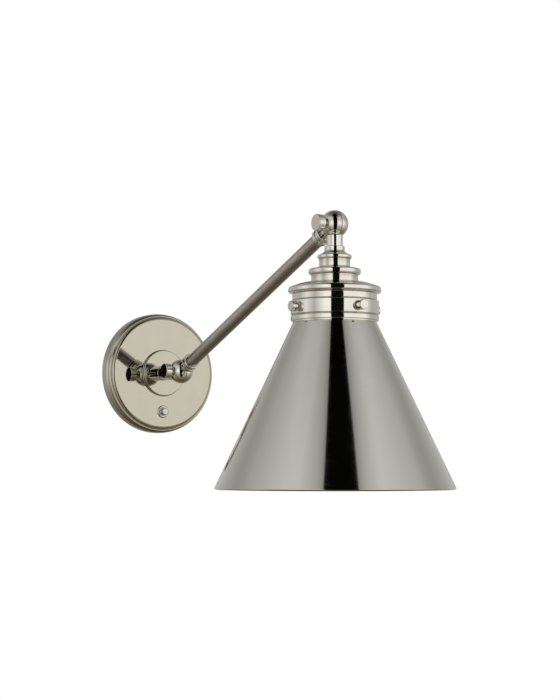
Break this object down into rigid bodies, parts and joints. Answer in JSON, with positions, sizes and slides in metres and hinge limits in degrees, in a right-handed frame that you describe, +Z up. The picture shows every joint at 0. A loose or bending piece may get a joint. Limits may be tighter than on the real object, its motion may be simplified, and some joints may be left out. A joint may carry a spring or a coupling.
{
  "type": "wall-mounted pharmacy reading light",
  "caption": "Wall light with a round back plate, one straight arm on split-ball knuckles, a stepped cap and a conical metal shade",
  "frame": {"origin": "centre of the back plate's back face, on the wall plane", "axes": "+Z up, -Y out from the wall, X along the wall"},
  "size_m": [0.217, 0.4571, 0.2524],
  "materials": {
    "polished_nickel": "polished nickel plate with fine turning lines",
    "plate_nickel": "polished nickel plate, spun",
    "satin_nickel": "satin drawn nickel-plated tube",
    "shade_nickel": "polished nickel outside, white enamel inside",
    "button_nickel": "polished nickel push button",
    "zinc_steel": "zinc-plated steel",
    "green_steel": "green-dyed earth screw",
    "washer_nickel": "nickel-plated friction washer",
    "cord_jacket": "insulated lamp cord",
    "black_phenolic": "moulded phenolic",
    "socket_brass": "nickel-washed brass shell",
    "porcelain": "unglazed porcelain",
    "thread_brass": "bare brass",
    "bulb_base_metal": "rolled aluminium screw base",
    "bulb_glass": "frosted glass envelope"
  },
  "bodies": {
    "wall_base": {"back_plate": "plate_nickel", "mounting_strap": "zinc_steel", "ground_screw": "green_steel", "wall_nipple": "zinc_steel", "wall_lock_nut": "zinc_steel", "stem": "polished_nickel", "wall_half_ball": "polished_nickel", "wall_cord": "cord_jacket", "switch_body": "black_phenolic", "switch_bushing": "polished_nickel", "switch_nut": "polished_nickel"},
    "button": {"switch_button": "button_nickel"},
    "lower_knob": {"wall_knob": "polished_nickel", "wall_pivot_screw": "zinc_steel"},
    "arm": {"wall_washer": "washer_nickel", "lower_arm_half_ball": "polished_nickel", "lower_arm_collar": "polished_nickel", "arm_tube": "satin_nickel", "arm_cord": "cord_jacket", "upper_arm_collar": "polished_nickel", "upper_arm_half_ball": "polished_nickel", "head_washer": "washer_nickel"},
    "head": {"head_half_ball": "polished_nickel", "neck_ring": "polished_nickel", "upper_cap_tier": "polished_nickel", "lower_cap_tier": "polished_nickel", "fitter_collar": "polished_nickel", "shade": "shade_nickel", "collar_screws": "polished_nickel", "head_nipple": "zinc_steel", "head_lock_nut": "zinc_steel", "head_cord": "cord_jacket", "socket_cap": "socket_brass", "socket_shell": "socket_brass", "socket_insulator": "porcelain", "screw_shell": "thread_brass", "centre_contact": "thread_brass", "bulb_base": "bulb_base_metal", "bulb_glass": "bulb_glass"},
    "upper_knob": {"head_knob": "polished_nickel", "head_pivot_screw": "zinc_steel"}
  },
  "joints": [
    {"name": "arm_pitch", "type": "hinge", "parent": "wall_base", "child": "arm", "pos_m": [0, -0.0573, 0], "axis": [-1, 0, 0], "range_deg": [-60, 40]},
    {"name": "shade_tilt", "type": "hinge", "parent": "arm", "child": "head", "pos_m": [0, -0.34862, 0.12008], "axis": [-1, 0, 0], "range_deg": [-9, 75]},
    {"name": "lower_knob_turn", "type": "hinge", "parent": "wall_base", "child": "lower_knob", "pos_m": [0, -0.0573, 0], "axis": [-1, 0, 0], "range_deg": [0, 270]},
    {"name": "upper_knob_turn", "type": "hinge", "parent": "head", "child": "upper_knob", "pos_m": [0, -0.34862, 0.12008], "axis": [-1, 0, 0], "range_deg": [0, 270]},
    {"name": "button_push", "type": "slide", "parent": "wall_base", "child": "button", "axis": [0, 1, 0], "range_m": [0, 0.002], "stiffness_N_per_m": 400, "springref_m": -0.001}
  ]
}
